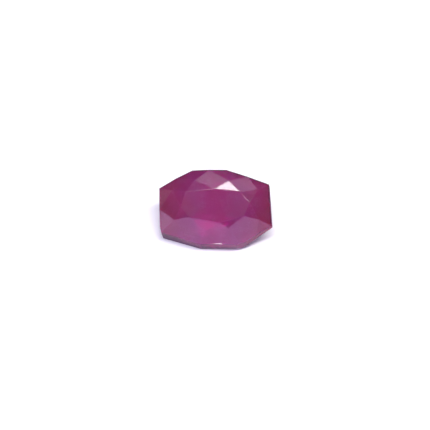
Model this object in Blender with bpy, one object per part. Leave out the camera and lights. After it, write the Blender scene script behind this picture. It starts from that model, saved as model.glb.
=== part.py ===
"""A loose faceted sapphire in an eight-sided barrel cut, lying on one of its lower facets.

The stone is cut from a block, one flat facet after another. While it is being cut its table
faces up (+Z), its long side lies along X and the upper edge of the girdle is at height 0. The
finished stone is then laid down on the large lower facet of its near side.
"""
import math

import bmesh
import bpy
from mathutils import Matrix, Vector

# All the lengths below are millimetres in the cutter's frame; the finished mesh is in metres.
MILLIMETRE = 0.001

NAME = "sapphire"

# Corners of the girdle outline, (x, y), from the far left one round by the right.
GIRDLE_CORNERS = [
    (-1.53, 2.55),
    (0.65, 2.52),
    (3.37, 1.50),
    (3.61, -1.31),
    (1.68, -2.55),
    (-0.93, -2.51),
    (-3.45, -1.62),
    (-3.61, 1.37),
]
# Depth of the girdle's lower edge under each of those corners. The near left corner was left thick.
GIRDLE_DEPTHS = [0.45, 0.45, 0.50, 0.38, 0.78, 0.78, 1.08, 0.70]
# How far the girdle's upper edge dips at each corner, between two crown mains.
GIRDLE_DIPS = [0.10, 0.05, 0.12, 0.12, 0.13, 0.055, 0.12, 0.12]

# Corners of the table, each facing the side of the girdle that starts at the corner of its number.
TABLE_HEIGHT = 0.50
TABLE_CORNERS = [
    (0.00, 1.03),
    (1.57, 0.81),
    (2.24, 0.05),
    (1.89, -0.86),
    (0.37, -1.27),
    (-1.57, -0.85),
    (-2.11, -0.15),
    (-1.82, 0.86),
]
# Degrees by which each side's crown main is turned away from the side.
CROWN_MAIN_TURNS = [0, 0, 0, -11, 0, 0, 0, -7]
# Depth of each star's tip under the table, as a share of the crown's height. Tip 0 faces corner 0.
STAR_DEPTHS = [0.45, 0.40, 0.45, 0.40, 0.27, 0.40, 0.32, 0.40]

# The lower half is cut in tiers, one facet to a side of the girdle, each at its own angle to the
# girdle plane. The main tier starts at these depths on the ridges that run down from the corners.
UPPER_TIER_ANGLES = [58, 58, 60, 58, 58, 58, 60, 58]
MAIN_TIER_DEPTHS = [0.70, 0.70, 0.78, 0.68, 1.18, 0.86, 1.22, 0.95]
MAIN_TIER_ANGLES = [38, 40, 43, 40, 30, 42, 44, 40]
# The shallow last tier starts at one level and ends in the keel. The near side has none of it:
# its large main facet runs on to the keel, and the stone lies on it.
KEEL_TIER_DEPTH = 1.90
KEEL_TIER_ANGLES = {0: 27, 1: 28, 2: 30, 3: 28, 6: 30, 7: 28}
REST_SIDE = 4
# Turn of the lying stone on the surface, so that its long side runs across.
LYING_TURN = -5

# The block is larger than the stone all round, and cuts this close to a corner go through it.
BLOCK_SIZE = 12
SNAP = 0.00002
# A point inside the stone, and the numbers of its sides.
HEART = Vector((0, 0, -0.5))
SIDES = range(len(GIRDLE_CORNERS))

COLOUR = (0.36, 0.035, 0.16, 1.0)
ROUGHNESS = 0.08
CORUNDUM_IOR = 1.77


def corner(number, depth=0.0):
    """A corner of the girdle outline, at a depth under the girdle's upper edge."""
    x, y = GIRDLE_CORNERS[number % len(GIRDLE_CORNERS)]
    return Vector((x, y, -depth))


def middle(side):
    """The middle of a side's upper edge, where a crown main touches the girdle."""
    return (corner(side) + corner(side + 1)) / 2


def table_corner(side):
    x, y = TABLE_CORNERS[side]
    return Vector((x, y, TABLE_HEIGHT))


def plane_through(first, second, third):
    """A plane, as a point and a normal that points away from the middle of the stone."""
    normal = (second - first).cross(third - first).normalized()
    if normal.dot(first - HEART) < 0:
        normal.negate()
    return first, normal


def ridge_point(plane, neighbour, height):
    """The point at a height on the ridge where two planes meet."""
    planes = [plane, neighbour, (Vector((0, 0, height)), Vector((0, 0, 1)))]
    normals = Matrix([normal for _, normal in planes])
    offsets = Vector([normal.dot(point) for point, normal in planes])
    return normals.inverted() @ offsets


def crown_main(side):
    """The kite from a table corner down to the middle of its side of the girdle."""
    touching = middle(side)
    turn = Matrix.Rotation(math.radians(CROWN_MAIN_TURNS[side]), 3, "Z")
    level = turn @ (corner(side + 1) - corner(side))
    return plane_through(table_corner(side), touching, touching + level)


def star_tip(number):
    height = TABLE_HEIGHT * (1 - STAR_DEPTHS[number])
    return ridge_point(crown_main(number - 1), crown_main(number), height)


def crown_planes():
    """The table, and at each corner a crown main, a star and the two facets beside the girdle."""
    planes = [(table_corner(0), Vector((0, 0, 1)))]
    for number in SIDES:
        tip = star_tip(number)
        dipped = corner(number, GIRDLE_DIPS[number])
        planes.append(crown_main(number))
        planes.append(plane_through(table_corner(number - 1), table_corner(number), tip))
        planes.append(plane_through(tip, dipped, middle(number - 1)))
        planes.append(plane_through(tip, dipped, middle(number)))
    return planes


def girdle_planes():
    return [plane_through(corner(side), corner(side + 1), corner(side, 1)) for side in SIDES]


def downward_normal(outwards, angle):
    """The normal of a lower facet that faces a level direction, at an angle to the girdle plane."""
    down = Vector((0, 0, -1))
    return outwards * math.sin(math.radians(angle)) + down * math.cos(math.radians(angle))


def lower_facet(start, end, angle):
    """The facet through its two upper corners that falls inwards at an angle to the girdle plane."""
    run = end - start
    level = Vector((run.x, run.y, 0))
    turn = run.z / level.length / math.tan(math.radians(angle))
    level.normalize()
    square = Vector((-level.y, level.x, 0))
    outwards = square * math.sqrt(1 - turn * turn) + level * turn
    return start, downward_normal(outwards, angle)


def keel_facet(main, angle):
    """The shallower facet that follows a main one from the level at which the last tier starts."""
    start, normal = main
    outwards = Vector((normal.x, normal.y, 0)).normalized()
    main_slope = -Vector((normal.x, normal.y)).length / normal.z
    point = start - outwards * (start.z + KEEL_TIER_DEPTH) / main_slope
    point.z = -KEEL_TIER_DEPTH
    return point, downward_normal(outwards, angle)


def tier(upper_corners, angles):
    """One facet to each side, through the corners at both of its ends."""
    ends = upper_corners[1:] + upper_corners[:1]
    return [lower_facet(start, end, angle) for start, end, angle in zip(upper_corners, ends, angles)]


def lower_mains(upper_tier):
    ridges = [ridge_point(upper_tier[side - 1], upper_tier[side], -MAIN_TIER_DEPTHS[side]) for side in SIDES]
    return tier(ridges, MAIN_TIER_ANGLES)


def lower_tiers():
    """The upper, main and keel tiers of the lower half."""
    upper = tier([corner(side, GIRDLE_DEPTHS[side]) for side in SIDES], UPPER_TIER_ANGLES)
    mains = lower_mains(upper)
    keel = [keel_facet(mains[side], angle) for side, angle in KEEL_TIER_ANGLES.items()]
    return upper, mains, keel


def cut_facet(stone, plane):
    """Takes away what is outside a plane and closes the stone with one flat face."""
    point, normal = plane
    everything = stone.verts[:] + stone.edges[:] + stone.faces[:]
    cut = bmesh.ops.bisect_plane(
        stone, geom=everything, dist=SNAP, plane_co=point, plane_no=normal, clear_outer=True)
    rim = [item for item in cut["geom_cut"] if isinstance(item, bmesh.types.BMEdge) and item.is_boundary]
    if rim:
        bmesh.ops.contextual_create(stone, geom=rim)


def cut_stone():
    stone = bmesh.new()
    bmesh.ops.create_cube(stone, size=BLOCK_SIZE)
    planes = girdle_planes() + crown_planes()
    for facets in lower_tiers():
        planes.extend(facets)
    for plane in planes:
        cut_facet(stone, plane)
    bmesh.ops.remove_doubles(stone, verts=stone.verts, dist=SNAP)
    bmesh.ops.recalc_face_normals(stone, faces=stone.faces)
    return stone


def lay_down(stone):
    """Turns the stone onto its rest facet and centres it over the origin, in metres."""
    _, mains, _ = lower_tiers()
    _, rest_normal = mains[REST_SIDE]
    down = Vector((0, 0, -1))
    lying = rest_normal.rotation_difference(down).to_matrix()
    long_side = lying @ Vector((1, 0, 0))
    straight = Matrix.Rotation(-math.atan2(long_side.y, long_side.x), 3, "Z")
    turned = Matrix.Rotation(math.radians(LYING_TURN), 3, "Z")
    placing = (turned @ straight @ lying).to_4x4()
    stone.transform(Matrix.Scale(MILLIMETRE, 4) @ placing)
    xs = [vertex.co.x for vertex in stone.verts]
    ys = [vertex.co.y for vertex in stone.verts]
    zs = [vertex.co.z for vertex in stone.verts]
    foot = Vector(((min(xs) + max(xs)) / 2, (min(ys) + max(ys)) / 2, min(zs)))
    stone.transform(Matrix.Translation(-foot))


def corundum():
    material = bpy.data.materials.new("pink sapphire")
    material.use_nodes = True
    shader = material.node_tree.nodes["Principled BSDF"]
    shader.inputs["Base Color"].default_value = COLOUR
    shader.inputs["Roughness"].default_value = ROUGHNESS
    shader.inputs["Metallic"].default_value = 0.0
    shader.inputs["IOR"].default_value = CORUNDUM_IOR
    shader.inputs["Transmission Weight"].default_value = 1.0
    material.diffuse_color = COLOUR
    return material


def main():
    for item in list(bpy.data.objects):
        bpy.data.objects.remove(item, do_unlink=True)
    stone = cut_stone()
    lay_down(stone)
    mesh = bpy.data.meshes.new(NAME)
    stone.to_mesh(mesh)
    stone.free()
    mesh.materials.append(corundum())
    bpy.context.scene.collection.objects.link(bpy.data.objects.new(NAME, mesh))


main()
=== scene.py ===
# A loose faceted pink sapphire on white paper, with a lamp or card for each thing its facets mirror.
import math
import random

import bmesh
import bpy
from mathutils import Matrix, Vector


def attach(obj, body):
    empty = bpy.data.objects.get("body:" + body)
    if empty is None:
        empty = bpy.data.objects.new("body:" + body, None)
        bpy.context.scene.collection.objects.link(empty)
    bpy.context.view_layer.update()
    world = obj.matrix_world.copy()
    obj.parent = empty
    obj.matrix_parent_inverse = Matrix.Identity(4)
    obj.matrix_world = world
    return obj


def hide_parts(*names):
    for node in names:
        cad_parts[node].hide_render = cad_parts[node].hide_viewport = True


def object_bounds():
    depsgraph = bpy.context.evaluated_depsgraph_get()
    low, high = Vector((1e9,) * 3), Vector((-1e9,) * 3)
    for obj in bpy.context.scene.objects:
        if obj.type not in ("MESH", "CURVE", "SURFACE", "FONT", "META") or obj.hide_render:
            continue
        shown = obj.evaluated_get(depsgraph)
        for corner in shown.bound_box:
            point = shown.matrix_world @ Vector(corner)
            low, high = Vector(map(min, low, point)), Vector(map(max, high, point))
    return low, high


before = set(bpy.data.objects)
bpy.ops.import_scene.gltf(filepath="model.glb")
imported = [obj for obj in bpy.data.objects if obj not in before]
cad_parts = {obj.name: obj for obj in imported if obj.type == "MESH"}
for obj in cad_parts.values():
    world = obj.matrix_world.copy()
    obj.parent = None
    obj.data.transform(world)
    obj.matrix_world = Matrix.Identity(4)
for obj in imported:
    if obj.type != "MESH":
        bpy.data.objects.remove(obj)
cadLow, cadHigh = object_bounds()

mm = 0.001  # everything below is in metres
upright = Vector((0, 0, 1))


# Camera


camera = {
    "elevation": 39,  # degrees above the paper, looking along +Y
    "distance": 150 * mm,
    "fieldWidth": 27.06 * mm,  # width of the picture at the stone
    "sensor": 36,  # mm
    "aimRight": -0.040 * mm,  # where the middle of the picture falls beside the middle of the stone
    "aimUp": -0.298 * mm,
    "roll": -0.6,  # degrees
    "clip": (0.01, 100),  # nearest and farthest, as shares of the distance
}


def addCamera():
    tilt = math.radians(camera["elevation"])
    back = Vector((0, -math.cos(tilt), math.sin(tilt)))
    right = Vector((1, 0, 0))
    up = back.cross(right)
    middle = (cadLow + cadHigh) / 2
    aim = middle + right * camera["aimRight"] + up * camera["aimUp"]
    data = bpy.data.cameras.new("camera")
    data.sensor_width = camera["sensor"]
    data.lens = camera["sensor"] * camera["distance"] / camera["fieldWidth"]
    data.clip_start, data.clip_end = [camera["distance"] * share for share in camera["clip"]]
    eye = bpy.data.objects.new("camera", data)
    eye.location = aim + back * camera["distance"]
    rolled = Matrix.Rotation(math.radians(camera["roll"]), 3, "Z")
    eye.rotation_euler = (back.to_track_quat("Z", "Y").to_matrix() @ rolled).to_euler()
    bpy.context.scene.collection.objects.link(eye)
    bpy.context.scene.camera = eye
    print("camera: lens", round(data.lens, 1), "mm")


# Node helpers


noises = {
    "roughness": 0.6,
    "middle": 0.5,
    "range": (0.3, 0.7),  # nearly all of a noise lies in it
}


def newMaterial(name):
    material = bpy.data.materials.new(name)
    material.use_nodes = True
    tree = material.node_tree
    return material, tree, tree.nodes["Principled BSDF"]


def setValues(node, values):
    for socket, value in values.items():
        node.inputs[socket].default_value = value


def connect(tree, node, links):
    for socket, source in links.items():
        tree.links.new(source, node.inputs[socket])


def addNode(tree, kind, values=None, links=None):
    node = tree.nodes.new("ShaderNode" + kind)
    setValues(node, values or {})
    connect(tree, node, links or {})
    return node


def maths(tree, operation, first, second=0):
    node = tree.nodes.new("ShaderNodeMath")
    node.operation = operation
    for socket, value in zip(node.inputs, (first, second)):
        if isinstance(value, (int, float)):
            socket.default_value = value
        else:
            tree.links.new(value, socket)
    return node.outputs[0]


def addScaled(tree, base, source, scale):
    return maths(tree, "ADD", base, maths(tree, "MULTIPLY", source, scale))


def spread(tree, source, fromLow, fromHigh, toLow, toHigh):
    node = addNode(
        tree, "MapRange", {"From Min": fromLow, "From Max": fromHigh, "To Min": toLow, "To Max": toHigh},
        {"Value": source})
    return node.outputs["Result"]


def blendColours(tree, share, first, second):
    # a Mix node has the sockets of all its kinds: the colours are inputs 6 and 7, and output 2
    node = tree.nodes.new("ShaderNodeMix")
    node.data_type = "RGBA"
    tree.links.new(share, node.inputs[0])
    for socket, value in zip(node.inputs[6:8], (first, second)):
        if isinstance(value, tuple):
            socket.default_value = (*value, 1)
        else:
            tree.links.new(value, socket)
    return node.outputs[2]


def rampColours(tree, source, stops):
    node = addNode(tree, "ValToRGB", links={"Fac": source})
    elements = node.color_ramp.elements
    while len(elements) < len(stops):
        elements.new(0.5)  # between the two ends, until it gets its own place below
    for element, (position, colour) in zip(elements, stops.items()):
        element.position = position
        element.color = (*colour, 1)
    return node.outputs["Color"]


def noise(tree, place, size, detail, kind="3D"):
    values = {"Scale": 1 / size, "Detail": detail, "Roughness": noises["roughness"]}
    node = addNode(tree, "TexNoise", values, {"Vector": place})
    node.noise_dimensions = kind
    return node.outputs["Fac"]


def wander(tree, place, patch, reach):
    # drifts between -reach and reach, over patches of this size
    return spread(tree, noise(tree, place, patch, detail=3), *noises["range"], -reach, reach)


def mapped(tree, place, socket, value):
    return addNode(tree, "Mapping", {socket: value}, {"Vector": place}).outputs["Vector"]


def readMark(tree, name):
    node = addNode(tree, "Attribute")
    node.attribute_name = name
    return node.outputs["Fac"]


def addBump(tree, strength, depth, height, links=None):
    values = {"Strength": strength, "Distance": depth}
    return addNode(tree, "Bump", values, {"Height": height, **(links or {})}).outputs["Normal"]


# The stone


stone = {
    "mergeDistance": 0.0002 * mm,
    "flatAngle": 0.2,  # degrees: faces closer to flat than this are one facet
    "tableUp": 0.5,  # the table faces up at least this much
    "edgeWear": 0.022 * mm,  # width of the worn strip along the facet junctions
    "edgeSegments": 2,
    "absorption": (0.72, 0.06, 0.56),
    "absorptionDensity": 300,
    "ior": 1.77,
    "transmission": 0.72,
    "roughness": 0.13,
    "milk": 1.0,  # the silk inside that scatters what doesn't go straight through
    "milkDepth": 1.5 * mm,
    "milkColour": (1.0, 0.3, 0.6),
    "innerShine": 0.5,
}

colourZones = {
    "zones": {  # by the distance from the middle, as a share of the half length
        0.05: (0.475, 0.020, 0.232),
        0.38: (0.445, 0.052, 0.262),
        0.60: (0.440, 0.052, 0.212),
        0.95: (0.450, 0.060, 0.160),
    },
    "halfLength": 3.55 * mm,
    "cloudSize": 1.8 * mm,
    "cloudPull": 0.9,  # how far the clouds push the zones
    "pale": (0.50, 0.085, 0.32),
    "patchSize": 0.9 * mm,
    "patchRange": (0.5, 0.75),
    "patchShare": 0.5,
}

polish = {
    "lineWidth": 0.012,  # mm on the facet, as the polish map is
    "lineLength": 1.4,
    "roughness": 0.05,
    "bump": 0.07,
    "depth": 0.002 * mm,
    "wavyBump": 0.15,
    "wavyDepth": 0.01 * mm,
    "wavySize": 0.7 * mm,
    "shift": 50,  # mm: how far apart the facets may lie on the map
    "seed": 11,
}

silk = {
    "needleLength": 1.6 * mm,
    "needleWidth": 0.022 * mm,
    "needleRange": (0.62, 0.72),
    "turns": (20, 80, 140),  # degrees in the table's plane: the three ways rutile grows in corundum
    "share": 0.3,  # of the needles' colour, where the silk is dense
    "colour": (0.62, 0.16, 0.44),
    "cloudSize": 1.3 * mm,
    "cloudRange": (0.45, 0.65),
    "milk": 0.10,  # transmission lost in the needles
    "roughness": 0.03,
}

pits = {
    "spacing": 0.55 * mm,
    "radius": 0.05 * mm,
    "share": (0.35, 0.36),  # of the cells, from where a pit is whole to where it is gone
    "bump": 0.35,
    "depth": 0.006 * mm,
}

nicks = {
    "count": 14,
    "radius": (0.035 * mm, 0.09 * mm),
    "stretch": (1.5, 3.5),  # along the edge
    "bite": (0.15, 0.35),  # share of the radius that goes into the stone
    "along": (0.1, 0.9),  # where on its edge, as a share of the length
    "subdivisions": 1,
    "seed": 5,
}

girdle = {
    # the girdle's colours are painted shade, darker towards its foot, with a lilac painted reflection
    # towards the right
    "colour": (0.14, 0.020, 0.110),
    "rightShadeColour": (0.23, 0.060, 0.21),
    "rightAlong": (0.2 * mm, 2.0 * mm),  # along X
    "roughness": 0.55,
    "grain": 0.03 * mm,
    "grainBump": 0.25,
    "grainDepth": 0.02 * mm,
    "paintedShadeFrom": (0.7, 1.3),  # depths where the painted shade starts and is full, 1 the top, 2 the foot: darker towards the foot
    "patch": 0.35 * mm,
    "uneven": 0.35,
    "rim": 1.8,  # depth given to the worn strips beside the girdle: they are ground and take its painted shade
    "shadeStartAlong": (-2.9 * mm, 0.2 * mm),  # along X, from painted shade all over to lighter in its upper part
    "shadeStartDrop": 0.6,  # how much lower the painted shade starts there
    "level": 0.03,  # faces this close to square with the table are the girdle
}

# a dark rim painted on the facets above the far and right sides, along the girdle: painted shade for the
# dark outline there
farShadeRim = {
    "towards": (0.6, 0.8, 0),
    "least": 0.3,  # how much a side faces that way
    "width": (0.08 * mm, 0.16 * mm),
    "patch": 0.3 * mm,
    "uneven": 0.03 * mm,
    "colour": (0.085, 0.015, 0.040),
    "milk": 0.5,  # transmission lost in the rim
}

wear = {
    "colour": (0.55, 0.16, 0.40),
    "share": 0.12,
    "roughness": 0.08,
    "patch": 0.35 * mm,
    "patchRange": (0.4, 0.6),
    "least": 0.4,
}

# where the lap touched the girdle: one polished place that catches the window, and three ground corners
# that also take the girdle's painted shade
touches = [
    {"normal": (-0.12, -0.905, 0.401), "depth": 0.022 * mm, "ground": 0},
    {"normal": (0.26, -0.83, -0.50), "depth": 0.12 * mm, "ground": 1.4},
    {"normal": (-0.19, -0.85, -0.50), "depth": 0.02 * mm, "ground": 1.4},
    {"normal": (-0.973, -0.125, -0.194), "depth": 0.07 * mm, "ground": 1.4},
]


def silkMask(tree, place, tableNormal):
    # fine needles in three directions of the table's plane, only where the silk is dense
    level = mapped(tree, place, "Rotation", tableNormal.rotation_difference(upright).to_euler())
    slender = silk["needleWidth"] / silk["needleLength"]
    needles = 0
    for turn in silk["turns"]:
        turned = mapped(tree, level, "Rotation", (0, 0, math.radians(turn)))
        stretched = mapped(tree, turned, "Scale", (slender, 1, 1))
        lines = noise(tree, stretched, silk["needleWidth"], detail=0)
        needles = maths(tree, "MAXIMUM", needles, spread(tree, lines, *silk["needleRange"], 0, 1))
    clouds = noise(tree, place, silk["cloudSize"], detail=2)
    dense = spread(tree, clouds, *silk["cloudRange"], 0, silk["share"])
    return maths(tree, "MULTIPLY", needles, dense)


def findMasks(tree, place, along, tableNormal):
    # how much each spot is on the girdle, under the girdle's painted shade, under the far rim's painted
    # shade, worn or silky, from 0 to 1
    girdleDepth = readMark(tree, "groundGirdle")  # 1 at its upper edge, 2 at its lower one, 0 elsewhere
    onGirdle = spread(tree, girdleDepth, 0, 1, 0, 1)
    # painted shade on the girdle: deeper towards its foot, uneven, and starting lower towards the right
    uneven = wander(tree, place, girdle["patch"], girdle["uneven"])
    shadeDrop = spread(tree, along, *girdle["shadeStartAlong"], 0, girdle["shadeStartDrop"])
    depth = maths(tree, "SUBTRACT", maths(tree, "ADD", girdleDepth, uneven), shadeDrop)
    ground = maths(tree, "MULTIPLY", spread(tree, depth, *girdle["paintedShadeFrom"], 0, 1), onGirdle)
    # the painted shade of the dark rim along the far and right girdle
    strayed = wander(tree, place, farShadeRim["patch"], farShadeRim["uneven"])
    fromGirdle = maths(tree, "ADD", readMark(tree, "fromGirdle"), strayed)
    darkRim = spread(tree, fromGirdle, *farShadeRim["width"], 1, 0)
    patches = noise(tree, place, wear["patch"], detail=2)
    uncovered = spread(tree, patches, *wear["patchRange"], wear["least"], 1)
    worn = maths(tree, "MULTIPLY", readMark(tree, "wornEdge"), uncovered)
    silky = silkMask(tree, place, tableNormal)
    return {"girdle": onGirdle, "ground": ground, "darkRim": darkRim, "worn": worn, "silky": silky}


def stoneColour(tree, place, along, masks):
    # colour zones: purple in the middle, red towards both ends, paler clouds
    fromMiddle = maths(tree, "DIVIDE", maths(tree, "ABSOLUTE", along), colourZones["halfLength"])
    clouds = noise(tree, place, colourZones["cloudSize"], detail=3)
    pull = maths(tree, "SUBTRACT", clouds, noises["middle"])
    pushed = addScaled(tree, fromMiddle, pull, colourZones["cloudPull"])
    zoned = rampColours(tree, pushed, colourZones["zones"])
    pale = noise(tree, place, colourZones["patchSize"], detail=4)
    patches = spread(tree, pale, *colourZones["patchRange"], 0, colourZones["patchShare"])
    clouded = blendColours(tree, patches, zoned, colourZones["pale"])
    silky = blendColours(tree, masks["silky"], clouded, silk["colour"])
    edged = blendColours(tree, maths(tree, "MULTIPLY", masks["worn"], wear["share"]), silky, wear["colour"])
    # painted shade: a dark rim along the far and right girdle
    darkRim = blendColours(tree, masks["darkRim"], edged, farShadeRim["colour"])
    # the girdle's painted shade, with a lilac painted reflection towards the right
    toRight = spread(tree, along, *girdle["rightAlong"], 0, 1)
    ground = blendColours(tree, toRight, girdle["colour"], girdle["rightShadeColour"])
    return blendColours(tree, masks["ground"], darkRim, ground)


def polishStrokes(tree):
    # polish lines run along each facet its own way
    facet = addNode(tree, "UVMap")
    facet.uv_map = "polish"
    fine = (1 / polish["lineWidth"], 1 / polish["lineLength"], 1)
    return noise(tree, mapped(tree, facet.outputs["UV"], "Scale", fine), size=1, detail=2, kind="2D")


def stoneRoughness(tree, strokes, masks):
    roughness = addScaled(tree, stone["roughness"] - polish["roughness"] / 2, strokes, polish["roughness"])
    for mask, finish in (("worn", wear), ("girdle", girdle), ("silky", silk)):
        roughness = addScaled(tree, roughness, masks[mask], finish["roughness"])
    return roughness


def stoneClearness(tree, masks):
    clear = addScaled(tree, stone["transmission"], masks["silky"], -silk["milk"])
    return addScaled(tree, clear, masks["darkRim"], -farShadeRim["milk"])


def pitHeight(tree, place):
    # small round pits left by the polish, in some of the cells of a net
    cells = addNode(tree, "TexVoronoi", {"Scale": 1 / pits["spacing"]}, {"Vector": place})
    hollow = spread(tree, cells.outputs["Distance"], 0, pits["radius"] / pits["spacing"], 0, 1)
    picked = addNode(tree, "SeparateColor", links={"Color": cells.outputs["Color"]}).outputs["Red"]
    return maths(tree, "MAXIMUM", hollow, spread(tree, picked, *pits["share"], 0, 1))


def stoneBump(tree, place, strokes, masks):
    # slow waves in the facets, polish lines, the grain of the ground girdle, and pits
    grain = maths(tree, "MULTIPLY", noise(tree, place, girdle["grain"], detail=3), masks["girdle"])
    waves = noise(tree, place, polish["wavySize"], detail=1)
    normal = addBump(tree, polish["wavyBump"], polish["wavyDepth"], waves)
    normal = addBump(tree, polish["bump"], polish["depth"], strokes, {"Normal": normal})
    normal = addBump(tree, girdle["grainBump"], girdle["grainDepth"], grain, {"Normal": normal})
    return addBump(tree, pits["bump"], pits["depth"], pitHeight(tree, place), {"Normal": normal})


def sapphireMaterial(tableNormal):
    material, tree, shader = newMaterial("pinkSapphire")
    place = addNode(tree, "TexCoord").outputs["Object"]
    along = addNode(tree, "SeparateXYZ", links={"Vector": place}).outputs["X"]
    masks = findMasks(tree, place, along, tableNormal)
    strokes = polishStrokes(tree)
    setValues(shader, {
        "IOR": stone["ior"],
        "Specular IOR Level": stone["innerShine"],
        "Subsurface Weight": stone["milk"],
        "Subsurface Scale": stone["milkDepth"],
        "Subsurface Radius": stone["milkColour"],
    })
    connect(tree, shader, {
        "Base Color": stoneColour(tree, place, along, masks),
        "Roughness": stoneRoughness(tree, strokes, masks),
        "Transmission Weight": stoneClearness(tree, masks),
        "Normal": stoneBump(tree, place, strokes, masks),
    })
    inside = addNode(tree, "VolumeAbsorption", {
        "Color": (*stone["absorption"], 1),
        "Density": stone["absorptionDensity"],
    })
    connect(tree, tree.nodes["Material Output"], {"Volume": inside.outputs["Volume"]})
    return material


def findTable(bm):
    return max(bm.faces, key=lambda face: face.calc_area() * (face.normal.z > stone["tableUp"]))


def markFaces(bm, tableNormal):
    # each corner's depth on the girdle, none of it worn yet, and all of it 1 mm away from the far rim
    ground = bm.loops.layers.float.new("groundGirdle")
    away = bm.loops.layers.float.new("fromGirdle")
    bm.faces.layers.float.new("wornEdge")
    bm.normal_update()
    for face in bm.faces:
        wall = abs(face.normal.dot(tableNormal)) < girdle["level"]
        heights = [loop.vert.co.dot(tableNormal) for loop in face.loops]
        for loop, height in zip(face.loops, heights):
            loop[ground] = float(wall) * (1 + (height < (min(heights) + max(heights)) / 2))
            loop[away] = mm


def markFarRim(bm, tableNormal):
    # how far the corners of the facets above the far and right sides are from the girdle, for their painted
    # dark rim
    ground = bm.loops.layers.float["groundGirdle"]
    away = bm.loops.layers.float["fromGirdle"]
    towards = Vector(farShadeRim["towards"])
    facing = [face for face in bm.faces if face.normal.dot(towards) >= farShadeRim["least"]]
    walls = [face for face in facing if face.loops[0][ground] > 0]
    for edge in [edge for wall in walls for edge in wall.edges]:
        start, end = [vertex.co for vertex in edge.verts]
        run = (end - start).normalized()
        for crown in edge.link_faces:
            if crown.normal.dot(tableNormal) < girdle["level"]:
                continue
            for loop in crown.loops:
                loop[away] = (loop.vert.co - start).cross(run).length


def cutAway(bm, point, normal):
    everything = bm.verts[:] + bm.edges[:] + bm.faces[:]
    cut = bmesh.ops.bisect_plane(
        bm, geom=everything, dist=stone["mergeDistance"], plane_co=point, plane_no=normal, clear_outer=True)
    rim = [item for item in cut["geom_cut"] if isinstance(item, bmesh.types.BMEdge) and item.is_boundary]
    return bmesh.ops.contextual_create(bm, geom=rim)["faces"]


def touchWithLap(bm):
    ground = bm.loops.layers.float["groundGirdle"]
    for touch in touches:
        lap = Vector(touch["normal"]).normalized()
        outermost = max(bm.verts, key=lambda vertex: vertex.co.dot(lap)).co.copy()
        for face in cutAway(bm, outermost - lap * touch["depth"], lap):
            for loop in face.loops:
                loop[ground] = touch["ground"]


def markWorn(bm, strips):
    # the worn strips along the junctions, and those beside the girdle are ground like it and take its
    # painted shade
    worn = bm.faces.layers.float["wornEdge"]
    ground = bm.loops.layers.float["groundGirdle"]
    away = bm.loops.layers.float["fromGirdle"]
    for face in strips:
        face[worn] = 1
        face.smooth = True
        for loop in face.loops:
            loop[ground] = 0
            loop[away] = mm
    walls = {face for face in bm.faces if face[worn] == 0 and face.loops[0][ground] > 0}
    for step in range(stone["edgeSegments"]):
        edges = {edge for face in walls for edge in face.edges}
        beside = {face for edge in edges for face in edge.link_faces if face[worn] == 1}
        for face in beside - walls:
            for loop in face.loops:
                loop[ground] = girdle["rim"]
        walls = walls | beside


def mapPolish(bm):
    # every facet is laid flat on the map in millimetres, turned its own way
    dice = random.Random(polish["seed"])
    layer = bm.loops.layers.uv.new("polish")
    for face in bm.faces:
        turn = dice.uniform(0, math.pi)
        side = face.normal.orthogonal().normalized()
        other = face.normal.cross(side)
        first = side * math.cos(turn) + other * math.sin(turn)
        second = other * math.cos(turn) - side * math.sin(turn)
        shift = dice.uniform(0, polish["shift"])
        for loop in face.loops:
            loop[layer].uv = (loop.vert.co.dot(first) / mm + shift, loop.vert.co.dot(second) / mm)


def girdleRim(bm):
    # the edges between the girdle's worn rim and the facets beside it
    ground = bm.loops.layers.float["groundGirdle"]
    worn = bm.faces.layers.float["wornEdge"]
    rim = []
    for edge in bm.edges:
        kinds = sorted((face[worn], face.loops[0][ground] > 0) for face in edge.link_faces)
        if kinds == [(0, False), (1, True)]:
            ends = [vertex.co.copy() for vertex in edge.verts]
            outwards = sum((face.normal for face in edge.link_faces), Vector()).normalized()
            rim.append((*ends, outwards))
    return rim


def addChips(rim):
    dice = random.Random(nicks["seed"])
    bm = bmesh.new()
    lengths = [(start - end).length for start, end, _ in rim]
    for number in range(nicks["count"]):
        start, end, outwards = dice.choices(rim, lengths)[0]
        run = (end - start).normalized()
        radius = dice.uniform(*nicks["radius"])
        bite = dice.uniform(*nicks["bite"])
        middle = start.lerp(end, dice.uniform(*nicks["along"])) + outwards * radius * (1 - bite)
        along = Matrix.Scale(dice.uniform(*nicks["stretch"]), 4, run)
        rolled = Matrix.Rotation(dice.uniform(0, math.pi), 4, run)
        bmesh.ops.create_icosphere(
            bm, subdivisions=nicks["subdivisions"], radius=radius,
            matrix=Matrix.Translation(middle) @ along @ rolled)
    mesh = bpy.data.meshes.new("chips")
    bm.to_mesh(mesh)
    bm.free()
    chips = bpy.data.objects.new("chips", mesh)
    bpy.context.scene.collection.objects.link(chips)
    return chips


def nickGirdle(piece, rim):
    # small chips bitten out of the girdle's rim
    chips = addChips(rim)
    bites = piece.modifiers.new("nicks", "BOOLEAN")
    bites.operation = "DIFFERENCE"
    bites.solver = "EXACT"
    bites.object = chips
    bites.use_self = True
    bpy.context.view_layer.update()
    nicked = bpy.data.meshes.new_from_object(piece.evaluated_get(bpy.context.evaluated_depsgraph_get()))
    piece.modifiers.clear()
    piece.data = nicked
    nicked.name = piece.name
    bpy.data.objects.remove(chips)
    print("stone:", nicks["count"], "nicks in the girdle")


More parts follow.
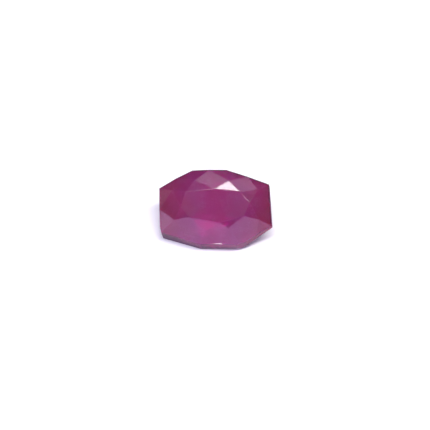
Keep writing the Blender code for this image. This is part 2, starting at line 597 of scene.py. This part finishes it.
def makeStone():
    bm = bmesh.new()
    bm.from_mesh(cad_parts["sapphire"].data)
    bmesh.ops.remove_doubles(bm, verts=bm.verts, dist=stone["mergeDistance"])
    bmesh.ops.dissolve_limit(
        bm, angle_limit=math.radians(stone["flatAngle"]), verts=bm.verts, edges=bm.edges)
    print("stone:", len(bm.faces), "facets")
    bm.normal_update()
    tableNormal = findTable(bm).normal.copy()
    markFaces(bm, tableNormal)
    markFarRim(bm, tableNormal)
    touchWithLap(bm)
    bevelled = bmesh.ops.bevel(
        bm, geom=bm.edges[:], offset=stone["edgeWear"], offset_type="OFFSET", affect="EDGES",
        segments=stone["edgeSegments"], profile=0.5, material=-1, clamp_overlap=True)
    bmesh.ops.recalc_face_normals(bm, faces=bm.faces)
    markWorn(bm, bevelled["faces"])
    mapPolish(bm)
    rim = girdleRim(bm)
    mesh = bpy.data.meshes.new("facetedStone")
    bm.to_mesh(mesh)
    bm.free()
    piece = bpy.data.objects.new("facetedStone", mesh)
    bpy.context.scene.collection.objects.link(piece)
    mesh.materials.append(sapphireMaterial(tableNormal))
    nickGirdle(piece, rim)
    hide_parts("sapphire")
    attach(piece, "root")
    print("stone:", len(piece.data.polygons), "faces")


# Paper and light


paper = {
    "size": 3.0,  # metres
    "gap": 0.01 * mm,  # the stone only touches the paper in places, so light still turns back at its foot
    "colour": (0.93, 0.93, 0.95),
    "roughness": 0.9,
    "grain": 0.12 * mm,
    "grainBump": 0.3,
    "grainDepth": 0.02 * mm,
}


def addPaper():
    bm = bmesh.new()
    bmesh.ops.create_grid(bm, x_segments=1, y_segments=1, size=paper["size"] / 2)
    bmesh.ops.translate(bm, verts=bm.verts, vec=-upright * paper["gap"])
    mesh = bpy.data.meshes.new("paper")
    bm.to_mesh(mesh)
    bm.free()
    sheet = bpy.data.objects.new("paper", mesh)
    bpy.context.scene.collection.objects.link(sheet)
    material, tree, shader = newMaterial("whitePaper")
    setValues(shader, {"Base Color": (*paper["colour"], 1), "Roughness": paper["roughness"]})
    fibres = noise(tree, addNode(tree, "TexCoord").outputs["Object"], paper["grain"], detail=4)
    connect(tree, shader, {"Normal": addBump(tree, paper["grainBump"], paper["grainDepth"], fibres)})
    mesh.materials.append(material)
    print("paper:", paper["size"], "m wide")


light = {
    "distance": 0.7,  # of every lamp and card from the stone
    "room": (0.12, 0.11, 0.15),  # what is seen where there is no lamp or card
    "roomStrength": 1,
    "tint": (0.75, 0.63, 1.05),  # daylight on the white cards
}

# glow is what a lamp or card looks like from the stone, 1 being plain white in the picture,
# and one that isn't mirrored lights the scene without showing in the facets
lamps = {
    "softbox": {"way": (0.18, -0.49, 1.0), "size": (0.66, 0.12), "glow": 23, "mirrored": False},
    "fill": {
        "way": (0.0, -0.95, 0.33), "size": (0.35, 0.15), "glow": 3.5, "mirrored": False,
        "colour": (0.75, 0.92, 1.05)},
    "ceiling": {"way": (0.025, 0.005, 1.0), "size": (0.065, 0.065), "glow": 11},
    "skylight": {"way": (0.05, 0.25, 0.97), "size": (0.10, 0.07), "glow": 5},
    "roof": {"way": (-0.24, -0.10, 0.97), "size": (0.22, 0.34), "glow": 0.22},
    "spot": {"way": (-0.078, 0.40, 0.91), "size": (0.078, 0.085), "glow": 12.6},
    "back": {"way": (0.01, 0.535, 0.85), "size": (0.27, 0.08), "glow": 1.6, "colour": (0.78, 0.62, 0.84)},
    "window": {"way": (-0.23, -0.96, 0.14), "size": (0.12, 0.06), "glow": 12},
    "front": {"way": (-0.34, -0.94, 0.41), "size": (2.2, 0.69), "glow": 1.4, "colour": light["tint"]},
    "left": {"way": (-0.92, -0.10, 0.30), "size": (0.30, 0.46), "glow": 1.8, "colour": light["tint"]},
    "leftBack": {"way": (-0.79, 0.22, 0.57), "size": (0.16, 0.20), "glow": 0.3},
    "strip": {"way": (-0.20, 0.15, 0.96), "size": (0.06, 0.06), "glow": 13},
}


def addLamp(name):
    lamp = lamps[name]
    direction = Vector(lamp["way"]).normalized()
    data = bpy.data.lights.new(name, "AREA")
    data.shape = "RECTANGLE"
    data.size, data.size_y = lamp["size"]
    data.energy = lamp["glow"] * math.pi * data.size * data.size_y
    data.color = lamp.get("colour", (1, 1, 1))
    item = bpy.data.objects.new(name, data)
    item.location = direction * light["distance"]
    item.rotation_euler = direction.to_track_quat("Z", "Y").to_euler()
    item.visible_camera = False
    item.visible_glossy = lamp.get("mirrored", True)
    item.visible_transmission = lamp.get("mirrored", True)
    bpy.context.scene.collection.objects.link(item)


def addLight():
    world = bpy.data.worlds.new("room")
    world.use_nodes = True
    room = {"Color": (*light["room"], 1), "Strength": light["roomStrength"]}
    setValues(world.node_tree.nodes["Background"], room)
    bpy.context.scene.world = world
    for name in lamps:
        addLamp(name)
    bpy.context.scene.view_settings.view_transform = "Standard"
    print("light:", len(lamps), "lamps and cards")


addCamera()
addPaper()
addLight()
makeStone()
